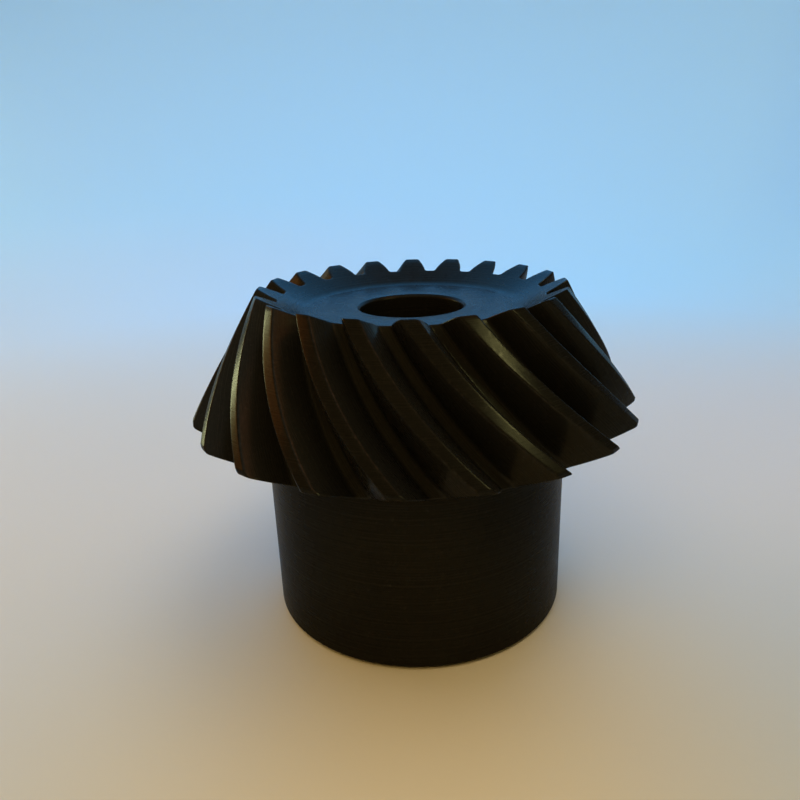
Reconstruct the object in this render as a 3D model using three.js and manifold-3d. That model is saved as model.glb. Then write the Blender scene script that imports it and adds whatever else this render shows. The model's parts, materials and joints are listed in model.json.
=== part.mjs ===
// Left-hand spiral bevel pinion with a long plain hub and two socket set screws in the hub wall.
// Millimetres, +Z up. The origin is on the bore axis, on the hub's end face; the teeth are at the top.
import * as THREE from "three";
import { mergeVertices } from "three/addons/utils/BufferGeometryUtils.js";
import Module from "manifold-3d";

const wasm = await Module();
wasm.setup();

const { sin, cos, tan, atan, asin, acos, sqrt, min, PI } = Math;
const degrees = (angle) => (angle * PI) / 180;

// ---------------------------------------------------------------- driving dimensions

// Gear pair: module at the heel, tooth counts of the pinion and of its mate, shafts at 90 degrees.
const MODULE = 4;
const TEETH = 20;
const MATE_TEETH = 40;
const PRESSURE_ANGLE = degrees(20);
const SPIRAL_ANGLE = degrees(35); // at the middle of the face
const CUTTER_RADIUS = 76.2; // the face-mill cutter that curves each tooth
const FACE_WIDTH = 28; // along the pitch cone
const FACE_ANGLE = degrees(31); // cone of the tooth tips
const WORKING_DEPTH = 1.7 * MODULE;
const WHOLE_DEPTH = 1.888 * MODULE;
const TOOTH_THICKNESS = 1.83 * MODULE; // across the pitch circle at the heel
const FILLET_RADIUS = 0.25 * MODULE; // at the tooth root, at the heel
const FIRST_SPACE = degrees(98); // direction of the first tooth space at the toe

// Blank.
const MOUNTING_DISTANCE = 120; // hub's end face to the pitch apex
const BACK_RELIEF = 0.3; // the back cone is turned this far short of the full cone distance
const OUTSIDE_RADIUS = 43.5; // the sharp heel corner is turned off to this
const FRONT_FACE_Z = 61.8;
const HUB_RADIUS = 30;
const HUB_CHAMFER = 1;
const BORE_RADIUS = 10;
const BORE_CHAMFER = 0.5;

// Set screws: M8, in the hub wall, 90 degrees apart.
const SCREW_ANGLES = { set_screw_left: degrees(135), set_screw_right: degrees(45) };
const SCREW_Z = 16;
const SCREW_RADIUS = 3.7;
const SCREW_LENGTH = 16;
const SCREW_TIP_AT = BORE_RADIUS + 0.5; // backed off, so that the tip clears the shaft
const TAPPED_HOLE_RADIUS = 4;
const COUNTERSINK = 0.8; // at the mouth of each tapped hole
const SOCKET_ACROSS_FLATS = 4;
const SOCKET_DEPTH = 5;
const CUP_RADIUS = 2.5;
const CUP_DEPTH = 1;

// Smoothness.
const ROUND_SEGMENTS = 120;
const SCREW_SEGMENTS = 24;
const FACE_STATIONS = 9;
const FLANK_POINTS = 4;
const OVERRUN = 2.5; // a cutter runs this far past the metal that it cuts
const SAME_POINT = 1e-4; // vertices closer than this are one

// ---------------------------------------------------------------- solids

// A closed three.js geometry as a manifold-3d solid.
function solidOf(geometry) {
  const bare = geometry.clone();
  bare.deleteAttribute("normal");
  bare.deleteAttribute("uv");
  const merged = mergeVertices(bare, SAME_POINT);
  return new wasm.Manifold(
    new wasm.Mesh({
      numProp: 3,
      vertProperties: merged.getAttribute("position").array,
      triVerts: new Uint32Array(merged.index.array),
    }),
  );
}

// A manifold-3d solid as a three.js geometry.
function geometryOf(solid) {
  const { vertProperties, triVerts } = solid.getMesh();
  const geometry = new THREE.BufferGeometry();
  geometry.setAttribute("position", new THREE.BufferAttribute(vertProperties, 3));
  geometry.setIndex(new THREE.BufferAttribute(triVerts, 1));
  geometry.computeVertexNormals();
  return geometry;
}

// A profile of [radius, height] pairs turned about +Z. The profile starts and ends on the axis,
// or closes on itself, and runs anticlockwise in the (radius, height) plane.
function turned(profile, segments) {
  const points = profile.map(([radius, height]) => new THREE.Vector2(radius, height));
  return new THREE.LatheGeometry(points, segments).rotateX(PI / 2);
}

// ---------------------------------------------------------------- tooth form

const PITCH_ANGLE = atan(TEETH / MATE_TEETH);
const HEEL_CONE = (MODULE * TEETH) / 2 / sin(PITCH_ANGLE); // cone distance of the heel
const TOE_CONE = HEEL_CONE - FACE_WIDTH;
const MEAN_CONE = HEEL_CONE - FACE_WIDTH / 2;

// Standard proportions for spiral bevel gears: the pinion has the long addendum.
const MATE_ADDENDUM = MODULE * (0.46 + 0.39 * (TEETH / MATE_TEETH) ** 2);
const ADDENDUM = WORKING_DEPTH - MATE_ADDENDUM;
const DEDENDUM = WHOLE_DEPTH - ADDENDUM;
const DEDENDUM_ANGLE = atan(DEDENDUM / HEEL_CONE);

const addendumAt = (cone) => ADDENDUM - (HEEL_CONE - cone) * tan(FACE_ANGLE - PITCH_ANGLE);
const dedendumAt = (cone) => DEDENDUM - (HEEL_CONE - cone) * tan(DEDENDUM_ANGLE);

// The point [radius, z] that stands `height` above the pitch cone at a cone distance.
function onCone(cone, height) {
  return [
    cone * sin(PITCH_ANGLE) + height * cos(PITCH_ANGLE),
    MOUNTING_DISTANCE - cone * cos(PITCH_ANGLE) + height * sin(PITCH_ANGLE),
  ];
}

// From the pitch apex to the cutter's centre, on the unrolled pitch cone. Each tooth is an arc
// about that centre.
const CUTTER_OFFSET = sqrt(
  MEAN_CONE ** 2 + CUTTER_RADIUS ** 2 - 2 * MEAN_CONE * CUTTER_RADIUS * sin(SPIRAL_ANGLE),
);

// Angle between the tooth and the cone's slant at a cone distance.
function spiralAt(cone) {
  return asin((cone ** 2 + CUTTER_RADIUS ** 2 - CUTTER_OFFSET ** 2) / (2 * cone * CUTTER_RADIUS));
}

// Turn of the tooth about the gear's axis, from the toe to a cone distance.
function turnAt(cone) {
  const fromCentre = (c) =>
    acos((c ** 2 + CUTTER_OFFSET ** 2 - CUTTER_RADIUS ** 2) / (2 * c * CUTTER_OFFSET));
  return (fromCentre(TOE_CONE) - fromCentre(cone)) / sin(PITCH_ANGLE);
}

const involute = (angle) => tan(angle) - angle;

// One side of a tooth space at a cone distance, from the root up past the tip, as pairs of
// [angle about the gear's axis from the middle of the space, height above the pitch cone].
// The flank is an involute of the virtual gear that the back cone unrolls to, and two chords
// stand for the fillet.
function spaceSide(cone) {
  const size = cone / HEEL_CONE;
  const pitchRadius = cone * tan(PITCH_ANGLE);
  const pressure = atan(tan(PRESSURE_ANGLE) / cos(spiralAt(cone)));
  const baseRadius = pitchRadius * cos(pressure);
  const virtualTeeth = TEETH / cos(PITCH_ANGLE);
  const halfTooth = (TOOTH_THICKNESS * size) / 2 / pitchRadius + involute(pressure);
  const halfSpaceAt = (radius) => {
    const here = acos(min(1, baseRadius / radius));
    return PI / virtualTeeth - halfTooth + involute(here);
  };
  const rootRadius = pitchRadius - dedendumAt(cone);
  const tipRadius = pitchRadius + addendumAt(cone) + OVERRUN * size;
  const fillet = FILLET_RADIUS * size;
  const filletTop = rootRadius + fillet;
  const inset = (1 - sqrt(0.5)) * fillet; // the middle of a quarter circle
  const side = [
    [halfSpaceAt(filletTop) - fillet / filletTop, rootRadius],
    [halfSpaceAt(filletTop) - inset / filletTop, rootRadius + inset],
  ];
  for (let i = 0; i < FLANK_POINTS; i++) {
    const radius = filletTop + ((tipRadius - filletTop) * i) / (FLANK_POINTS - 1);
    side.push([halfSpaceAt(radius), radius]);
  }
  return side.map(([angle, radius]) => [angle / cos(PITCH_ANGLE), radius - pitchRadius]);
}

// The metal taken out between two teeth: sections of the tooth space, lofted from toe to heel.
function toothSpace() {
  const sections = [];
  for (let i = 0; i < FACE_STATIONS; i++) {
    const share = i / (FACE_STATIONS - 1);
    const cone = TOE_CONE - OVERRUN + (FACE_WIDTH + 2 * OVERRUN) * share;
    const right = spaceSide(cone);
    const left = right.map(([angle, height]) => [-angle, height]).reverse();
    sections.push(
      [...left, ...right].map(([angle, height]) => {
        const [radius, z] = onCone(cone, height);
        const turn = turnAt(cone) + angle;
        return new THREE.Vector3(radius * cos(turn), radius * sin(turn), z);
      }),
    );
  }
  return lofted(sections);
}

// A closed geometry through sections of the same number of points, each running anticlockwise
// about the way to the next.
function lofted(sections) {
  const count = sections[0].length;
  const faces = [];
  for (let s = 0; s + 1 < sections.length; s++) {
    for (let i = 0; i < count; i++) {
      const a = s * count + i;
      const b = s * count + ((i + 1) % count);
      faces.push(a, b, b + count, a, b + count, a + count);
    }
  }
  const half = count / 2; // each section is a strip between its mirrored sides
  const last = (sections.length - 1) * count;
  for (let i = 0; i + 1 < half; i++) {
    const [a, b, c, d] = [i, i + 1, count - 2 - i, count - 1 - i];
    faces.push(a, c, b, a, d, c);
    faces.push(last + a, last + b, last + c, last + a, last + c, last + d);
  }
  const geometry = new THREE.BufferGeometry().setFromPoints(sections.flat());
  return geometry.setIndex(faces);
}

// ---------------------------------------------------------------- gear

// The turned blank: hub, back cone, face cone, front cone, front face and bore.
function blank() {
  const back = HEEL_CONE - BACK_RELIEF;
  const [heelTip, heelZ] = onCone(back, addendumAt(back));
  const [toeTip, toeZ] = onCone(TOE_CONE, addendumAt(TOE_CONE));
  const cut = heelTip - OUTSIDE_RADIUS;
  const endConeSlope = tan(PITCH_ANGLE); // both end cones stand square to the pitch cone
  return turned(
    [
      [BORE_RADIUS + BORE_CHAMFER, 0],
      [HUB_RADIUS - HUB_CHAMFER, 0],
      [HUB_RADIUS, HUB_CHAMFER],
      [HUB_RADIUS, heelZ - (heelTip - HUB_RADIUS) * endConeSlope],
      [OUTSIDE_RADIUS, heelZ - cut * endConeSlope],
      [OUTSIDE_RADIUS, heelZ + cut / tan(FACE_ANGLE)],
      [toeTip, toeZ],
      [toeTip - (toeZ - FRONT_FACE_Z) / endConeSlope, FRONT_FACE_Z],
      [BORE_RADIUS + BORE_CHAMFER, FRONT_FACE_Z],
      [BORE_RADIUS, FRONT_FACE_Z - BORE_CHAMFER],
      [BORE_RADIUS, BORE_CHAMFER],
      [BORE_RADIUS + BORE_CHAMFER, 0],
    ],
    ROUND_SEGMENTS,
  );
}

// A shape that is made along +Z from the bore axis, laid along a screw's direction.
function alongScrew(geometry, angle) {
  return geometry.rotateY(PI / 2).rotateZ(angle).translate(0, 0, SCREW_Z);
}

// The drill for one tapped hole, from inside the bore to past the hub, with its countersink.
function tappedHole() {
  const start = BORE_RADIUS - OVERRUN;
  const mouth = TAPPED_HOLE_RADIUS + COUNTERSINK;
  return turned(
    [
      [0, start],
      [TAPPED_HOLE_RADIUS, start],
      [TAPPED_HOLE_RADIUS, HUB_RADIUS - COUNTERSINK],
      [mouth, HUB_RADIUS],
      [mouth, HUB_RADIUS + OVERRUN],
      [0, HUB_RADIUS + OVERRUN],
    ],
    SCREW_SEGMENTS,
  );
}

function gearBody() {
  let body = solidOf(blank());
  for (let i = 0; i < TEETH; i++) {
    const direction = FIRST_SPACE + (2 * PI * i) / TEETH;
    body = body.subtract(solidOf(toothSpace().rotateZ(direction)));
  }
  for (const angle of Object.values(SCREW_ANGLES)) {
    body = body.subtract(solidOf(alongScrew(tappedHole(), angle)));
  }
  return geometryOf(body);
}

// ---------------------------------------------------------------- set screws

// A cup-point set screw along +Z: its tip at z = 0 and its hexagon socket at the far end.
function setScrew() {
  const chamfer = SCREW_RADIUS / 6;
  const shank = turned(
    [
      [0, CUP_DEPTH],
      [CUP_RADIUS, 0],
      [SCREW_RADIUS, SCREW_RADIUS - CUP_RADIUS],
      [SCREW_RADIUS, SCREW_LENGTH - chamfer],
      [SCREW_RADIUS - chamfer, SCREW_LENGTH],
      [0, SCREW_LENGTH],
    ],
    SCREW_SEGMENTS,
  );
  const cornerRadius = SOCKET_ACROSS_FLATS / sqrt(3);
  const socket = new THREE.CylinderGeometry(cornerRadius, cornerRadius, SOCKET_DEPTH * 2, 6);
  socket.rotateX(PI / 2).translate(0, 0, SCREW_LENGTH);
  return geometryOf(solidOf(shank).subtract(solidOf(socket)));
}

// ---------------------------------------------------------------- the part

const blackOxide = new THREE.MeshStandardMaterial({
  name: "black_oxide_steel",
  color: 0x17181b,
  roughness: 0.42,
  metalness: 0.9,
});
const screwSteel = new THREE.MeshStandardMaterial({
  name: "screw_steel",
  color: 0x101113,
  roughness: 0.35,
  metalness: 0.9,
});

const part = new THREE.Group();

const gear = new THREE.Mesh(gearBody(), blackOxide);
gear.name = "gear_body";
part.add(gear);

for (const [name, angle] of Object.entries(SCREW_ANGLES)) {
  const screw = new THREE.Mesh(setScrew().translate(0, 0, SCREW_TIP_AT), screwSteel);
  screw.name = name;
  screw.rotation.set(0, PI / 2, angle, "ZYX");
  screw.position.z = SCREW_Z;
  part.add(screw);
}

export default part;
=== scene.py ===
"""A left-hand spiral bevel pinion in black-oxide steel, standing on its hub, with two socket set screws."""

import json
from math import asin, atan, cos, pi, radians, sin, sqrt, tan

import bmesh
import bpy
import numpy as np
from mathutils import Matrix, Vector


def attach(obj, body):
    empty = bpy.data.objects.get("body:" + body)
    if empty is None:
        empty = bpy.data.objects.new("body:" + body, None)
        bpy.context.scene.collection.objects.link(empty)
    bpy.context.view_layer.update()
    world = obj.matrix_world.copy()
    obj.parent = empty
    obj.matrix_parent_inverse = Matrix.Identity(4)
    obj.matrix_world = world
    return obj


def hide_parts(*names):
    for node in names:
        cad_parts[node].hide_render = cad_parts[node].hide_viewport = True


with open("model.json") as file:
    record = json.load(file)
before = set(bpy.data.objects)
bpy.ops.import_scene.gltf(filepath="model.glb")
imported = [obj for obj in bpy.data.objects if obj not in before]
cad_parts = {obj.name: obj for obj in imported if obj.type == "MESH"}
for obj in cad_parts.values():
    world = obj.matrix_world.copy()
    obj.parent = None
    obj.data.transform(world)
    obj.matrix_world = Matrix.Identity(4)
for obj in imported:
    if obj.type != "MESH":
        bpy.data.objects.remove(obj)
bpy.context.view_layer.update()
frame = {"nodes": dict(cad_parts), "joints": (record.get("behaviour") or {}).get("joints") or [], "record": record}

MM = 0.001
TURN = 2 * pi

# ---------------------------------------------------------------- camera, in millimetres and degrees

CAMERA_DISTANCE = 164.9  # from the middle of the hub's end face
CAMERA_ELEVATION = 33.76
CAMERA_TILT_UP = 13.95
CAMERA_PAN = 1.17
CAMERA_ROLL = 1.38
CAMERA_LENS = 32.26
CAMERA_SENSOR = 36
CAMERA_CLIP = 5


def make_camera():
    """In front of the gear (-Y) and above it, looking over the hub's foot at the toothed part."""
    elevation = radians(CAMERA_ELEVATION)
    right = Vector((1, 0, 0))
    forward = Vector((0, cos(elevation), -sin(elevation)))
    up = right.cross(forward)
    turned = (
        Matrix.Rotation(radians(CAMERA_ROLL), 3, "Z")
        @ Matrix.Rotation(radians(CAMERA_TILT_UP), 3, "X")
        @ Matrix.Rotation(radians(CAMERA_PAN), 3, "Y")
        @ Matrix((right, up, forward))
    )
    axes = Matrix((turned[0], turned[1], -turned[2])).transposed()
    data = bpy.data.cameras.new("camera")
    data.sensor_width = CAMERA_SENSOR
    data.lens = CAMERA_LENS
    data.clip_start = CAMERA_CLIP * MM
    camera = bpy.data.objects.new("camera", data)
    bpy.context.scene.collection.objects.link(camera)
    camera.matrix_world = Matrix.Translation(-forward * CAMERA_DISTANCE * MM) @ axes.to_4x4()
    bpy.context.scene.camera = camera


make_camera()


# ---------------------------------------------------------------- sizes from the frame, in millimetres

def mount(name):
    return next(row for row in frame["record"]["mounts"] if row["name"] == name)


def node_points(node):
    return np.array([v.co for v in frame["nodes"][node].data.vertices]) / MM


GEAR_NODE = frame["record"]["behaviour"]["bodies"]["gear"][0]
FRONT_FACE_Z = mount("front_face")["pos_m"][2] / MM
OUTSIDE_RADIUS = np.hypot(*node_points(GEAR_NODE)[:, :2].T).max()

# ---------------------------------------------------------------- gear geometry, in millimetres

MODULE = 4
TEETH = 20
MATE_TEETH = 40
PRESSURE_ANGLE = radians(20)
SPIRAL_ANGLE = radians(35)
CUTTER_RADIUS = 76.2
FACE_WIDTH = 28
FACE_ANGLE = radians(31)
WORKING_DEPTH = 1.7 * MODULE
WHOLE_DEPTH = 1.888 * MODULE
TOOTH_THICKNESS = 1.83 * MODULE
ROOT_FILLET = 0.25 * MODULE
FIRST_SPACE = radians(98)  # direction of the middle of one tooth space, at the toe
MOUNTING_DISTANCE = 120
BACK_RELIEF = 0.3  # the large ends of the teeth stand this far inside the heel of the pitch cone

HUB_RADIUS = 30
HUB_CHAMFER = 1
HUB_EDGE = 0.2  # rounding of the chamfer's two edges
HUB_NECK = 1.2  # fillet where the hub meets the back cone
BORE_RADIUS = 10
BORE_CHAMFER = 0.5
BORE_EDGE = 0.12
FRONT_BLEND = 2.4  # where the flat front face turns up into the front cone
BACK_CONE_START = 2.4  # the smooth part of the back cone starts this far outside the hub
FRONT_CONE_END = 0.8  # the smooth part of the front cone ends this far inside the tooth roots

TIP_EDGE = 0.33  # rounding along the edges of each tooth tip at the heel, measured across the tip
EDGE_DROP = 1.4  # it reaches this many times as far down the flank
END_BREAK = 0.28  # broken edge round the ends of the teeth

PITCH_ANGLE = atan(TEETH / MATE_TEETH)
HEEL_CONE = MODULE * TEETH / 2 / sin(PITCH_ANGLE)
TOE_CONE = HEEL_CONE - FACE_WIDTH
MEAN_CONE = HEEL_CONE - FACE_WIDTH / 2
BACK_CONE = HEEL_CONE - BACK_RELIEF
ADDENDUM = WORKING_DEPTH - MODULE * (0.46 + 0.39 * (TEETH / MATE_TEETH) ** 2)
DEDENDUM = WHOLE_DEPTH - ADDENDUM
CUTTER_OFFSET = sqrt(MEAN_CONE**2 + CUTTER_RADIUS**2 - 2 * MEAN_CONE * CUTTER_RADIUS * sin(SPIRAL_ANGLE))
END_SLOPE = tan(PITCH_ANGLE)  # both end cones of the blank stand square to the pitch cone


def tip_height(cone):
    """Height of the tooth tips above the pitch cone, with the heel corner turned off."""
    full = ADDENDUM - (HEEL_CONE - cone) * tan(FACE_ANGLE - PITCH_ANGLE)
    turned_off = (OUTSIDE_RADIUS - cone * sin(PITCH_ANGLE)) / cos(PITCH_ANGLE)
    return min(full, turned_off)


def root_depth(cone):
    return DEDENDUM - (HEEL_CONE - cone) * DEDENDUM / HEEL_CONE


def spiral_at(cone):
    return asin((cone**2 + CUTTER_RADIUS**2 - CUTTER_OFFSET**2) / (2 * cone * CUTTER_RADIUS))


def turn_at(cone):
    """Turn of a tooth about the gear's axis, from the toe to a cone distance."""
    def from_centre(c):
        return np.arccos((c**2 + CUTTER_OFFSET**2 - CUTTER_RADIUS**2) / (2 * c * CUTTER_OFFSET))
    return (from_centre(TOE_CONE) - from_centre(cone)) / sin(PITCH_ANGLE)


def involute(angle):
    return np.tan(angle) - angle


def bezier(start, corner, end, steps):
    """Points on the curve that rounds a corner, both ends included."""
    t = np.linspace(0, 1, steps + 1)
    return (1 - t) ** 2 * start + 2 * t * (1 - t) * corner + t**2 * end


# How many columns of the mesh each stretch of half a tooth profile takes.
ROOT_STEPS = 3
FILLET_STEPS = 5
FLANK_STEPS = 9
EDGE_STEPS = 6
LAND_STEPS = 3
HALF = ROOT_STEPS + FILLET_STEPS + FLANK_STEPS + EDGE_STEPS + LAND_STEPS


def half_profile(cone, extra):
    """From the middle of a tooth space to the middle of the next tooth, on the back cone unrolled flat: x, y.
    The flank is an involute. The edge between it and the tip is rounded, by `extra` more than TIP_EDGE."""
    size = cone / HEEL_CONE
    edge = TIP_EDGE * size + extra
    drop = edge * EDGE_DROP
    pitch_radius = cone * tan(PITCH_ANGLE)
    pressure = atan(tan(PRESSURE_ANGLE) / cos(spiral_at(cone)))
    base_radius = pitch_radius * cos(pressure)
    tooth_middle = pi * cos(PITCH_ANGLE) / TEETH
    half_tooth = TOOTH_THICKNESS * size / 2 / pitch_radius + involute(pressure)

    def lean(radius):
        return np.arccos(np.minimum(1, base_radius / radius))

    def space(radius):
        return tooth_middle - half_tooth + involute(lean(radius))

    root = pitch_radius - root_depth(cone)
    tip = pitch_radius + tip_height(cone)
    fillet = ROOT_FILLET * size
    slant = lean(root + fillet)
    flank_start = root + fillet * (1 - sin(slant))
    fillet_middle = space(flank_start) - fillet * cos(slant) / flank_start
    swing = np.linspace(0, pi / 2 - slant, FILLET_STEPS + 1)
    flank = np.linspace(flank_start, tip - drop, FLANK_STEPS + 1)
    land_start = space(tip) + edge / tip
    angle = np.concatenate([
        np.linspace(0, fillet_middle, ROOT_STEPS + 1),
        (fillet_middle + fillet * np.sin(swing) / root)[1:-1],
        space(flank),
        bezier(space(tip - drop), space(tip), land_start, EDGE_STEPS)[1:],
        np.linspace(land_start, tooth_middle, LAND_STEPS + 1)[1:],
    ])
    radius = np.concatenate([
        np.full(ROOT_STEPS + 1, root),
        (root + fillet * (1 - np.cos(swing)))[1:-1],
        flank,
        bezier(tip - drop, tip, tip, EDGE_STEPS)[1:],
        np.full(LAND_STEPS, tip),
    ])
    return radius * np.sin(angle), radius * np.cos(angle)


SPACE_STRIDE = 20  # between the cutter-mark coordinates of neighbouring tooth spaces


def section(cone, inset=0):
    """One ring of points round all the teeth at a cone distance, drawn into the metal by `inset`:
    arrays of radius, z, angle, and distance across the cutter marks."""
    x, y = half_profile(cone, inset)
    along_x, along_y = np.gradient(x), np.gradient(y)
    length = np.hypot(along_x, along_y)
    x, y = x + inset * along_y / length, y - inset * along_x / length
    half_angle = np.arctan2(x, y) / cos(PITCH_ANGLE)
    half_height = np.hypot(x, y) - cone * tan(PITCH_ANGLE)
    half_across = np.concatenate([[0], np.cumsum(np.hypot(np.diff(x), np.diff(y)))])
    pitch = TURN / TEETH
    tooth = np.arange(TEETH)[:, None]
    angle = pitch * tooth + np.concatenate([half_angle, (pitch - half_angle[::-1])[1:-1]])
    across = SPACE_STRIDE * tooth + np.concatenate([half_across, (SPACE_STRIDE - half_across[::-1])[1:-1]])
    height = np.tile(np.concatenate([half_height, half_height[::-1][1:-1]]), TEETH)
    radius = cone * sin(PITCH_ANGLE) + height * cos(PITCH_ANGLE)
    z = MOUNTING_DISTANCE - cone * cos(PITCH_ANGLE) + height * sin(PITCH_ANGLE)
    return radius, z, FIRST_SPACE + turn_at(cone) + angle.ravel(), across.ravel()


BREAK_STEPS = 3
FACE_RINGS = 40
CREASE_GAP = 0.15  # between the crease and the ring before it, which keeps the crease sharp


def tooth_stations():
    """Cone distances of the rings from toe to heel, each with how far the broken edge draws it in."""
    swing = np.linspace(0, pi / 2, BREAK_STEPS + 1)
    back, draw = END_BREAK * (1 - np.sin(swing)), END_BREAK * (1 - np.cos(swing))
    toe = list(zip(TOE_CONE + back, draw))[::-1]
    heel = list(zip(BACK_CONE - back, draw))
    slope = tan(FACE_ANGLE - PITCH_ANGLE)
    crease = (OUTSIDE_RADIUS - (ADDENDUM - HEEL_CONE * slope) * cos(PITCH_ANGLE)) / (
        sin(PITCH_ANGLE) + slope * cos(PITCH_ANGLE)
    )  # here the face cone meets the outside cylinder
    middle = list(np.linspace(toe[-1][0], crease - CREASE_GAP, FACE_RINGS)[1:]) + [crease]
    middle += list(np.linspace(crease, heel[0][0], 4)[1:-1])
    return toe + [(cone, 0) for cone in middle] + heel


toe_r, toe_z, _, _ = section(TOE_CONE)
heel_r, heel_z, _, _ = section(BACK_CONE)


def toe_cone_z(r):
    return toe_z[0] + (r - toe_r[0]) * END_SLOPE


def heel_cone_z(r):
    return heel_z[0] + (r - heel_r[0]) * END_SLOPE


def rounded(corners, corner_steps=4, longest=4.0):
    """Points (r, z) along straight stretches joined by rounded corners. corners: (r, z, rounding length)."""
    points = []
    for i, (r, z, rounding) in enumerate(corners):
        corner = np.array((r, z))
        if not rounding:
            turn = [corner]
        else:
            before, after = np.array(corners[i - 1][:2]), np.array(corners[i + 1][:2])
            start = corner + (before - corner) * rounding / np.linalg.norm(before - corner)
            end = corner + (after - corner) * rounding / np.linalg.norm(after - corner)
            turn = [bezier(a, b, c, corner_steps) for a, b, c in zip(start, corner, end)]
            turn = list(np.array(turn).T)
        if points:
            count = int(np.ceil(np.linalg.norm(turn[0] - points[-1]) / longest))
            points += list(np.linspace(points[-1], turn[0], count + 1)[1:-1])
        points += turn
    return points


def turned_profile():
    """The turned faces, from the back cone down the hub, over its end and up the bore to the front cone."""
    flat_edge = toe_r[0] - (toe_z[0] - FRONT_FACE_Z) / END_SLOPE
    heel_start = HUB_RADIUS + BACK_CONE_START
    toe_end = toe_r.min() - FRONT_CONE_END
    return rounded([
        (heel_start, heel_cone_z(heel_start), 0),
        (HUB_RADIUS, heel_cone_z(HUB_RADIUS), HUB_NECK),
        (HUB_RADIUS, HUB_CHAMFER, HUB_EDGE),
        (HUB_RADIUS - HUB_CHAMFER, 0, HUB_EDGE),
        (BORE_RADIUS + BORE_CHAMFER, 0, BORE_EDGE),
        (BORE_RADIUS, BORE_CHAMFER, BORE_EDGE),
        (BORE_RADIUS, FRONT_FACE_Z - BORE_CHAMFER, BORE_EDGE),
        (BORE_RADIUS + BORE_CHAMFER, FRONT_FACE_Z, BORE_EDGE),
        (flat_edge, FRONT_FACE_Z, FRONT_BLEND / 2),
        (toe_end, toe_cone_z(toe_end), 0),
    ])


def grid_mesh(name, points, closed_rows=False, attributes=None):
    """A mesh of quads over a (rows, columns, 3) array in millimetres. Each row closes into a ring, and the
    last row may join the first. Seen from outside, columns run anticlockwise and rows run down."""
    rows, columns = points.shape[:2]
    index = np.arange(rows * columns).reshape(rows, columns)
    below = np.roll(index, -1, 0)
    if not closed_rows:
        index, below = index[:-1], below[:-1]
    quads = np.stack([index, below, np.roll(below, -1, 1), np.roll(index, -1, 1)], -1).reshape(-1, 4)
    mesh = bpy.data.meshes.new(name)
    mesh.from_pydata((points.reshape(-1, 3) * MM).tolist(), [], quads.tolist())
    for key, values in (attributes or {}).items():
        attribute = mesh.attributes.new(key, "FLOAT", "POINT")
        attribute.data.foreach_set("value", values.ravel().astype(np.float32))
    return mesh


def merge_ends(mesh):
    """Welds rows that have shrunk to a point."""
    work = bmesh.new()
    work.from_mesh(mesh)
    bmesh.ops.remove_doubles(work, verts=work.verts, dist=1e-8)
    work.to_mesh(mesh)
    work.free()
    return mesh


def link(name, mesh):
    piece = bpy.data.objects.new(name, mesh)
    bpy.context.scene.collection.objects.link(piece)
    return piece


# Rings between the ends of the teeth and the turned faces, as shares of the way inwards or outwards.
HEEL_SHARES = (0.3, 0.65)
TOE_SHARES = (0.35, 0.7)


def gear_mesh():
    """The whole gear but its tapped holes, as one skin. Its point attributes are `cut`, 1 in the tooth
    spaces, `across`, the distance in metres across the cutter marks, and `edge`, 1 on edges that wear."""
    stations = tooth_stations()
    rings = [section(cone, inset) for cone, inset in stations]
    toe, heel = rings[0], rings[-1]
    teeth_rows = len(rings)
    profile = turned_profile()
    for share in HEEL_SHARES:
        r = heel[0] + (profile[0][0] - heel[0]) * share
        rings.append((r, heel_cone_z(r), heel[2], heel[3]))
    # The mesh unwinds from the heel's angles to the toe's as it crosses the hub's end face.
    unwound = 0
    for (r, z), (before_r, before_z) in zip(profile, profile[:1] + profile[:-1]):
        if z == before_z == 0:
            unwound += (before_r - r) / (HUB_RADIUS - HUB_CHAMFER - BORE_RADIUS - BORE_CHAMFER)
        angle = heel[2] + (toe[2] - heel[2]) * min(1, unwound)
        rings.append((np.full_like(angle, r), np.full_like(angle, z), angle, heel[3]))
    for share in TOE_SHARES:
        r = profile[-1][0] + (toe[0] - profile[-1][0]) * share
        rings.append((r, toe_cone_z(r), toe[2], toe[3]))
    points = np.array([np.stack([r * np.cos(a), r * np.sin(a), z], -1) for r, z, a, _ in rings])

    column = np.tile(np.minimum(np.arange(2 * HALF), 2 * HALF - np.arange(2 * HALF)), TEETH)
    edge_middle = HALF - LAND_STEPS - EDGE_STEPS / 2
    cut, edge = np.zeros(points.shape[:2]), np.zeros(points.shape[:2])
    cut[:teeth_rows] = column < edge_middle
    edge[:teeth_rows] = np.clip(1.4 - abs(column - edge_middle) / EDGE_STEPS * 1.6, 0, 1)
    edge[:BREAK_STEPS] = edge[teeth_rows - BREAK_STEPS:teeth_rows] = 1
    across = np.array([ring[3] for ring in rings]) * MM
    return grid_mesh("gear", points, True, {"cut": cut, "across": across, "edge": edge})


# ---------------------------------------------------------------- screws and tapped holes, in millimetres

THREAD_PITCH = 1.25
THREAD_DEPTH = 0.55
THREAD_FULLNESS = 1.35
THREAD_STEEPNESS = 3.6
SCREW_CREST = 3.62
HOLE_CREST = 3.75
THREAD_COLUMNS = 96
SOCKET_HALF_WIDTH = 2.0
SOCKET_DEPTH = 4.6
COUNTERSINK = 0.8
HOLE_INWARDS = 2.5  # how far the cutting shape of a hole reaches past the bore wall
HOLE_OUTWARDS = 1.5  # and past the hub
THREAD_ANGLES = np.linspace(0, TURN, THREAD_COLUMNS, endpoint=False)
WHOLE = np.ones(THREAD_COLUMNS)


def thread_wave(along):
    """Round the thread at a distance along it: 0 in the groove, 1 on the crest, right-handed."""
    phase = (along / THREAD_PITCH - THREAD_ANGLES / TURN) % 1
    return np.clip(THREAD_FULLNESS - abs(phase - 0.5) * THREAD_STEEPNESS, 0, 1)


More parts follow.
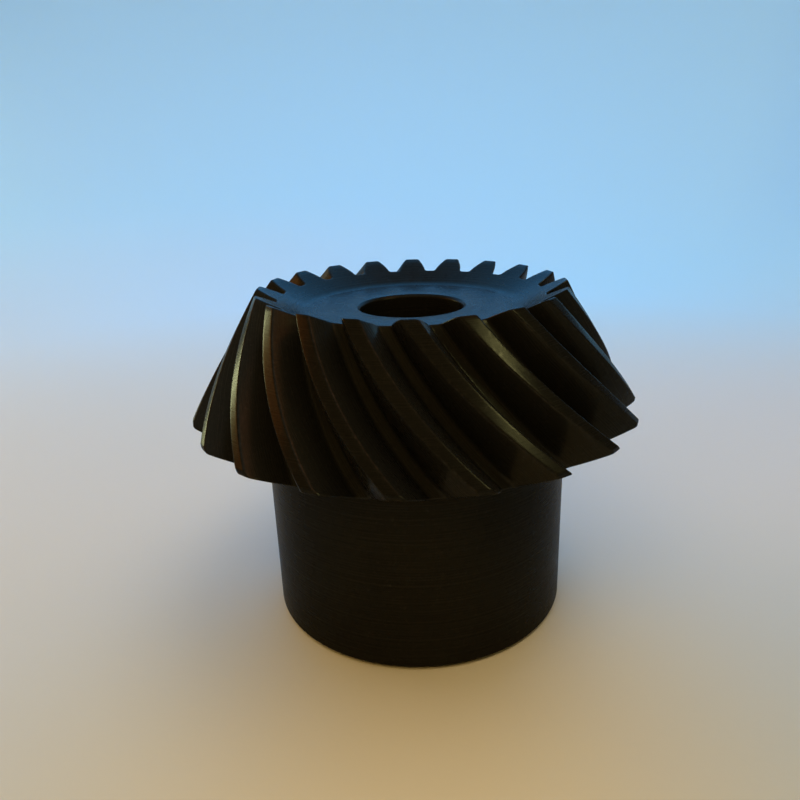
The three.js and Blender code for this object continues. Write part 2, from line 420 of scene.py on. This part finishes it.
def spun(rows, direction, height):
    """Points of a surface round a level axis at a height. rows: (radii round the axis, distance along it)."""
    outward = np.array(direction)
    side = np.cross((0, 0, 1), outward)
    up = np.array((0, 0, 1))
    circle = np.outer(np.cos(THREAD_ANGLES), side) + np.outer(np.sin(THREAD_ANGLES), up)
    rings = [circle * radii[:, None] + np.outer(along * WHOLE, outward) for radii, along in rows[::-1]]
    return np.array(rings) + up * height


def tapped_hole_rows():
    """The space of a tapped hole, from inside the bore to outside the hub."""
    start, end = BORE_RADIUS - HOLE_INWARDS, HUB_RADIUS + HOLE_OUTWARDS
    rows = [(WHOLE * 0, start)]
    for along in np.arange(start, end, THREAD_PITCH / 8):
        threaded = HOLE_CREST + THREAD_DEPTH * (1 - thread_wave(along + THREAD_PITCH / 2))
        sink = HOLE_CREST + THREAD_DEPTH + COUNTERSINK / 2 + (along - HUB_RADIUS)
        rows.append((np.maximum(threaded, sink), along))
    rows.append((WHOLE * 0, rows[-1][1]))
    return rows


# The cup point, from its middle outwards: radius, distance from the tip.
CUP_POINT = [(0, 1.1), (0.6, 0.9), (1.5, 0.45), (2.25, 0.05), (2.32, 0), (2.45, 0.02), (2.55, 0.1)]


def set_screw_rows(tip, head):
    """A cup-point set screw with a hexagon socket, from the middle of its cup to the bottom of its socket."""
    hexagon = SOCKET_HALF_WIDTH / np.cos((THREAD_ANGLES + pi / 6) % (pi / 3) - pi / 6)
    corner = SOCKET_HALF_WIDTH / cos(pi / 6)
    root = SCREW_CREST - THREAD_DEPTH
    rows = [(WHOLE * radius, tip + depth) for radius, depth in CUP_POINT]
    for along in np.arange(tip + 0.2, head - 0.1, THREAD_PITCH / 10):
        threaded = root + THREAD_DEPTH * thread_wave(along)
        # Both ends of the thread run out in a cone.
        limit = min(2.45 + (along - tip) * 0.9, root + 0.02 + (head - along))
        rows.append((np.minimum(threaded, limit), along))
    rows += [
        (WHOLE * (root - 0.05), head - 0.03),
        (WHOLE * (root - 0.15), head),
        (WHOLE * (corner + 0.2), head),
        (WHOLE * (corner + 0.12), head - 0.03),
        (np.minimum(hexagon + 0.05, corner), head - 0.12 - (corner - hexagon) * 0.55),
        (hexagon, head - 0.22 - (corner - hexagon) * 0.6),
    ]
    rows += [(hexagon, along) for along in np.linspace(head - 1.2, head - SOCKET_DEPTH, 5)]
    rows += [
        (hexagon * 0.96, head - SOCKET_DEPTH - 0.12),
        (WHOLE, head - SOCKET_DEPTH - 0.6),
        (WHOLE * 0, head - SOCKET_DEPTH - 1.1),
    ]
    return rows


# Edges that turn by more than this many degrees stay sharp.
GEAR_SHARP = 40
SCREW_SHARP = 38


def smooth_but_sharp(mesh, degrees):
    mesh.shade_smooth()
    mesh.set_sharp_from_angle(angle=radians(degrees))


def make_gear_and_screws():
    """The gear with its two tapped holes, and the screws in them."""
    gear = link("gear", gear_mesh())
    screws = {}
    for joint in frame["joints"]:
        body = joint["child"]
        node = frame["record"]["behaviour"]["bodies"][body][0]
        direction = tuple(Vector(joint["axis"]).normalized())
        points = node_points(node)
        height = (points[:, 2].max() + points[:, 2].min()) / 2
        along = points @ np.array(direction)
        hole_mesh = merge_ends(grid_mesh("hole", spun(tapped_hole_rows(), direction, height)))
        hole = link(f"hole_{node}", hole_mesh)
        cutter = gear.modifiers.new("tapped_hole", "BOOLEAN")
        cutter.operation = "DIFFERENCE"
        cutter.solver = "MANIFOLD"
        cutter.object = hole
        rows = set_screw_rows(along.min(), along.max())
        screw = link(f"{node}_fine", merge_ends(grid_mesh(node, spun(rows, direction, height))))
        smooth_but_sharp(screw.data, SCREW_SHARP)
        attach(screw, body)
        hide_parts(node)
        screws[node] = screw
    bpy.context.view_layer.update()
    graph = bpy.context.evaluated_depsgraph_get()
    cut = bpy.data.meshes.new_from_object(gear.evaluated_get(graph))
    gear.modifiers.clear()
    gear.data = cut
    for node in screws:
        bpy.data.objects.remove(bpy.data.objects[f"hole_{node}"])
    smooth_but_sharp(cut, GEAR_SHARP)
    weighted = gear.modifiers.new("even_shading", "WEIGHTED_NORMAL")
    weighted.keep_sharp = True
    weighted.weight = 80
    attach(gear, "gear")
    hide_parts(GEAR_NODE)
    return gear, screws


# ---------------------------------------------------------------- materials

class Nodes:
    """Short calls for one material's node tree."""

    def __init__(self, name):
        self.material = bpy.data.materials.new(name)
        self.material.use_nodes = True
        self.tree = self.material.node_tree
        self.tree.nodes.clear()
        self.output = self.add("ShaderNodeOutputMaterial")

    def add(self, kind, inputs=None, **settings):
        node = self.tree.nodes.new(kind)
        for key, value in settings.items():
            setattr(node, key, value)
        for key, value in (inputs or {}).items():
            if isinstance(value, bpy.types.NodeSocket):
                self.tree.links.new(value, node.inputs[key])
            else:
                node.inputs[key].default_value = value
        return node

    def math(self, operation, a, b=0.0):
        return self.add("ShaderNodeMath", {0: a, 1: b}, operation=operation).outputs[0]

    def attribute(self, name):
        return self.add("ShaderNodeAttribute", attribute_name=name).outputs["Fac"]

    def noise(self, vector, scale, detail=2.0, rough=0.5):
        inputs = {"Vector": vector, "Scale": scale, "Detail": detail, "Roughness": rough}
        return self.add("ShaderNodeTexNoise", inputs).outputs[0]

    def line_noise(self, coordinate, scale, detail=2.0):
        inputs = {"W": coordinate, "Scale": scale, "Detail": detail}
        return self.add("ShaderNodeTexNoise", inputs, noise_dimensions="1D").outputs[0]

    def remap(self, value, low, high, to_low=0.0, to_high=1.0):
        inputs = {0: value, 1: low, 2: high, 3: to_low, 4: to_high}
        return self.add("ShaderNodeMapRange", inputs, interpolation_type="SMOOTHSTEP").outputs[0]

    def blend(self, factor, a, b):
        """A number between a and b."""
        inputs = {0: factor, 2: a, 3: b}
        return self.add("ShaderNodeMix", inputs, data_type="FLOAT").outputs[0]

    def colour(self, factor, a, b):
        node = self.add("ShaderNodeMix", {0: factor}, data_type="RGBA")
        for socket, value in ((node.inputs[6], a), (node.inputs[7], b)):
            if isinstance(value, bpy.types.NodeSocket):
                self.tree.links.new(value, socket)
            else:
                socket.default_value = (*value, 1)
        return node.outputs[2]

    def overlay(self, mask, strength, under, over):
        """One colour laid over another, as strongly as `strength` where the mask is 1."""
        return self.colour(self.math("MULTIPLY", mask, strength), under, over)

    def finish(self, shader):
        self.tree.links.new(shader.outputs[0], self.output.inputs[0])
        return self.material


EDGE_TINT = (0.75, 0.75, 0.75, 1)  # a matt oxide reflects less than clean metal where it is seen edge on


def black_oxide():
    """Black oxide over lathe marks on the turned faces and over cutter marks in the tooth spaces. The tooth
    spaces' base is painted lighter, partly their cut finish and partly a painted fill light against the shade
    between the teeth.
    """
    m = Nodes("black_oxide")
    place = m.add("ShaderNodeTexCoord").outputs["Object"]
    split = m.add("ShaderNodeSeparateXYZ", {0: place})
    level = m.add("ShaderNodeCombineXYZ", {0: split.outputs[0], 1: split.outputs[1]})
    radius = m.add("ShaderNodeVectorMath", {0: level.outputs[0]}, operation="LENGTH").outputs["Value"]
    # Radius less part of the height changes along every turned face, so one coordinate serves them all.
    along = m.math("SUBTRACT", radius, m.math("MULTIPLY", split.outputs[2], 0.6))
    cut, edge = m.attribute("cut"), m.attribute("edge")

    patches = m.noise(place, 55, 3)
    grain = m.noise(place, 5200, 2)
    specks = m.remap(m.noise(place, 1500, 3, 0.6), 0.6, 0.72)
    smears = m.noise(place, 240, 4, 0.6)
    turned_marks = m.line_noise(along, 3800, 2)
    wander = m.math("MULTIPLY", m.noise(place, 120), 0.0012)
    milled_marks = m.line_noise(m.math("ADD", m.attribute("across"), wander), 4200, 2)
    marks = m.blend(cut, turned_marks, milled_marks)
    worn = m.math("MULTIPLY", edge, m.remap(m.noise(place, 1700, 3, 0.7), 0.45, 0.65))

    turned = m.colour(m.remap(patches, 0.35, 0.65), (0.0125, 0.0113, 0.0083), (0.0150, 0.0136, 0.0098))
    # Lighter base in the tooth spaces: partly the cut finish, partly painted fill light against the shade between
    # the teeth.
    milled_painted_fill = m.colour(m.remap(patches, 0.35, 0.65), (0.0170, 0.0158, 0.0118), (0.0210, 0.0194, 0.0145))
    colour = m.colour(cut, turned, milled_painted_fill)
    colour = m.overlay(m.remap(marks, 0.4, 0.7), 0.25, colour, (0.030, 0.027, 0.021))
    colour = m.overlay(m.remap(grain, 0.45, 0.75), 0.35, colour, (0.034, 0.031, 0.023))
    colour = m.overlay(specks, 0.3, colour, (0.048, 0.043, 0.034))
    colour = m.overlay(worn, 0.3, colour, (0.060, 0.054, 0.043))

    rough = m.remap(smears, 0.3, 0.7, 0.25, 0.30)
    rough = m.math("ADD", rough, m.math("MULTIPLY", m.math("SUBTRACT", marks, 0.5), 0.09))
    rough = m.math("SUBTRACT", rough, m.math("MULTIPLY", worn, 0.08))

    grain_bump = m.add("ShaderNodeBump", {"Height": grain, "Distance": 9e-6})
    marks_bump = m.add("ShaderNodeBump", {
        "Height": marks,
        "Distance": 0.6e-6,
        "Normal": grain_bump.outputs[0],
    })
    shader = m.add("ShaderNodeBsdfPrincipled", {
        "Base Color": colour,
        "Metallic": 0.45,
        "Specular IOR Level": 0.0,
        "Specular Tint": EDGE_TINT,
        "Roughness": rough,
        "Normal": marks_bump.outputs[0],
    })
    return m.finish(shader)


def screw_oxide():
    """The finer, blacker oxide of a hardened screw."""
    m = Nodes("screw_oxide")
    place = m.add("ShaderNodeTexCoord").outputs["Object"]
    grain = m.noise(place, 4200, 2)
    patches = m.noise(place, 420, 3)
    scuffs = m.remap(m.noise(place, 1300, 4, 0.7), 0.58, 0.7)
    colour = m.colour(patches, (0.008, 0.008, 0.008), (0.014, 0.013, 0.011))
    colour = m.overlay(scuffs, 0.6, colour, (0.05, 0.045, 0.038))
    bump = m.add("ShaderNodeBump", {"Height": grain, "Distance": 3e-6})
    shader = m.add("ShaderNodeBsdfPrincipled", {
        "Base Color": colour,
        "Roughness": m.remap(patches, 0.3, 0.7, 0.28, 0.42),
        "IOR": 1.6,
        "Normal": bump.outputs[0],
    })
    return m.finish(shader)


# Painted light and shade of a room round the wall, by direction from the gear in degrees: dim and warm in front
# and at the sides, and pale blue behind as painted window light. The dark steel mirrors them.
PAINTED_ROOM_LIGHT = [
    (-180, (0.42, 0.23, 0.06)),
    (-60, (0.26, 0.16, 0.04)),
    (-15, (0.16, 0.12, 0.06)),
    (36, (0.13, 0.13, 0.13)),
    (48, (0.50, 0.78, 1.0)),
    (60, (0.60, 0.87, 1.0)),
    (122, (0.60, 0.86, 1.0)),
    (131, (0.60, 0.88, 1.0)),
    (141, (0.40, 0.36, 0.30)),
    (158, (0.42, 0.30, 0.16)),
    (180, (0.42, 0.23, 0.06)),
]


def painted_light_backdrop():
    """Paper with painted light: warm and a little dark in front, pale grey round the gear, and pale blue behind,
    as painted warm light in front and painted blue window light behind.
    """
    m = Nodes("painted_light_backdrop")
    place = m.add("ShaderNodeTexCoord").outputs["Object"]
    split = m.add("ShaderNodeSeparateXYZ", {0: place})
    across, depth, height = split.outputs
    turn = m.math("ARCTAN2", depth, across)
    ramp = m.add("ShaderNodeValToRGB", {0: m.math("ADD", m.math("DIVIDE", turn, TURN), 0.5)})
    stops = ramp.color_ramp.elements
    while len(stops) < len(PAINTED_ROOM_LIGHT):
        stops.new(0.5)
    for stop, (direction, colour) in zip(stops, PAINTED_ROOM_LIGHT):
        stop.position = direction / 360 + 0.5
        stop.color = (*colour, 1)
    # Painted light on the floor: warm in front, darker and cooler towards the front right as a painted falloff,
    # and pale blue behind as painted window light.
    rightward = m.remap(across, -0.12, 0.16)
    near = m.colour(rightward, (0.69, 0.67, 0.60), (0.58, 0.63, 0.60))
    far = m.colour(rightward, (0.68, 0.82, 0.91), (0.60, 0.87, 1.0))
    under_gear = m.colour(rightward, (0.77, 0.73, 0.69), (0.81, 0.765, 0.74))
    colour = m.colour(m.remap(depth, -0.10, 0.05), near, under_gear)
    # A painted warm pool of light on the floor just in front of the gear.
    painted_pool_centre = {0: place, 1: (0.0, -0.068, 0.0)}
    painted_pool_distance = m.add("ShaderNodeVectorMath", painted_pool_centre, operation="DISTANCE").outputs["Value"]
    colour = m.colour(m.remap(painted_pool_distance, 0.10, 0.01), colour, (0.84, 0.74, 0.56))
    colour = m.colour(m.remap(depth, 0.08, 0.34), colour, far)
    colour = m.colour(m.remap(height, 0.0, 0.06), colour, ramp.outputs[0])
    # Painted shade: the wall high up behind is painted dark blue, standing in for a dim room above the window.
    painted_shade_above = m.math("MULTIPLY", m.remap(height, 0.20, 0.40), m.remap(depth, 0.0, 0.3))
    colour = m.colour(painted_shade_above, colour, (0.16, 0.34, 0.45))
    tooth = m.noise(place, 900, 3)
    bump = m.add("ShaderNodeBump", {"Height": tooth, "Distance": 2e-5})
    shader = m.add("ShaderNodeBsdfPrincipled", {
        "Base Color": colour,
        "Roughness": 0.9,
        "Specular IOR Level": 0.2,
        "Normal": bump.outputs[0],
    })
    return m.finish(shader)


# ---------------------------------------------------------------- floor, lights and world, in metres

FLOOR_RADIUS = 0.30
WALL_RADIUS = 0.55
WALL_TOP = 1.0
GEAR_MIDDLE = 0.04  # height of the point that the lights face


def make_backdrop():
    """A seamless bowl: a flat floor that curves up into a round wall."""
    cove = WALL_RADIUS - FLOOR_RADIUS
    swing = np.linspace(0, pi / 2, 24)
    profile = [(r, 0) for r in np.linspace(0, FLOOR_RADIUS, 8)[:-1]]
    profile += list(zip(FLOOR_RADIUS + cove * np.sin(swing), cove * (1 - np.cos(swing))))
    profile += [(WALL_RADIUS, z) for z in np.linspace(cove, WALL_TOP, 6)[1:]]
    angles = np.linspace(0, TURN, 128, endpoint=False)
    x, y = np.cos(angles), np.sin(angles)
    rows = [np.stack([r * x, r * y, np.full_like(angles, z)], -1) for r, z in profile]
    floor = link("floor", merge_ends(grid_mesh("floor", np.array(rows) / MM)))
    floor.data.flip_normals()
    floor.data.shade_smooth()
    floor.data.materials.append(painted_light_backdrop())


def soft_light(name, direction, distance, size, colour, radiance, glossy=True, diffuse=True):
    """A rectangle of light that faces the gear, from where it looks as bright as `radiance` times its colour.
    One that isn't glossy makes no highlight, and one that isn't diffuse makes only a highlight."""
    data = bpy.data.lights.new(name, "AREA")
    data.shape = "RECTANGLE"
    data.size, data.size_y = size
    data.color = colour
    data.energy = radiance * pi * size[0] * size[1]
    light = bpy.data.objects.new(name, data)
    bpy.context.scene.collection.objects.link(light)
    away = Vector(direction).normalized()
    light.matrix_world = Matrix.LocRotScale(
        away * distance + Vector((0, 0, GEAR_MIDDLE)), (-away).to_track_quat("-Z", "Y"), None
    )
    light.visible_camera = False
    light.visible_glossy = glossy
    light.visible_diffuse = diffuse


def towards(azimuth, elevation):
    """A direction from the gear, from degrees round from +X and degrees up."""
    turn, rise = radians(azimuth), radians(elevation)
    return cos(turn) * cos(rise), sin(turn) * cos(rise), sin(rise)


def make_lights():
    soft_light("overhead", (0.65, 0.05, 1), 0.8, (0.9, 0.9), (1, 0.82, 0.51), 1.5, glossy=False)
    soft_light("left_fill", towards(150, 32), 0.5, (0.3, 0.3), (1, 0.80, 0.60), 1.2, glossy=False)
    soft_light("front_fill", towards(-110, 50), 0.5, (0.4, 0.3), (1, 0.70, 0.26), 2.1, glossy=False)
    soft_light("sky_fill", towards(90, 33), 0.56, (0.8, 0.34), (0.12, 0.46, 1.0), 2.75, glossy=False)
    soft_light("blue_window", towards(91, 37), 0.5, (0.7, 0.37), (0.06, 0.42, 1.0), 3.3, diffuse=False)
    soft_light("side_window", towards(153, 9.5), 0.45, (0.06, 0.13), (0.92, 1.0, 0.58), 37.0, diffuse=False)
    soft_light("left_glow", towards(137, 21), 0.47, (0.08, 0.08), (1, 0.80, 0.52), 4.2, diffuse=False)
    soft_light("left_haze", towards(121, 0), 0.44, (0.10, 0.10), (0.55, 0.90, 1.0), 1.4, diffuse=False)
    soft_light("right_window", towards(47, 7), 0.45, (0.09, 0.20), (0.24, 0.66, 1.0), 3.2, diffuse=False)
    soft_light("warm_glow", towards(163, 15), 0.46, (0.11, 0.11), (1, 0.66, 0.06), 3.0, diffuse=False)
    soft_light("high_glow", towards(163, 34), 0.46, (0.14, 0.12), (1, 0.36, 0.03), 4.5, diffuse=False)
    soft_light("brown_glow", towards(180, 23), 0.48, (0.26, 0.18), (1, 0.26, 0.01), 2.2, diffuse=False)
    soft_light("brown_ceiling", towards(-17, 61), 0.5, (0.24, 0.16), (1, 0.28, 0.01), 1.3, diffuse=False)
    soft_light("lamp", towards(-32, 36), 0.45, (0.08, 0.08), (1, 1.02, 0.52), 26.0, diffuse=False)
    world = bpy.data.worlds.new("room")
    world.use_nodes = True
    background = world.node_tree.nodes["Background"]
    background.inputs["Color"].default_value = (0.40, 0.58, 0.80, 1)
    background.inputs["Strength"].default_value = 0.6
    bpy.context.scene.world = world
    bpy.context.scene.view_settings.view_transform = "Standard"


gear, screws = make_gear_and_screws()
gear.data.materials.clear()
gear.data.materials.append(black_oxide())
screw_material = screw_oxide()
for screw in screws.values():
    screw.data.materials.append(screw_material)
make_backdrop()
make_lights()
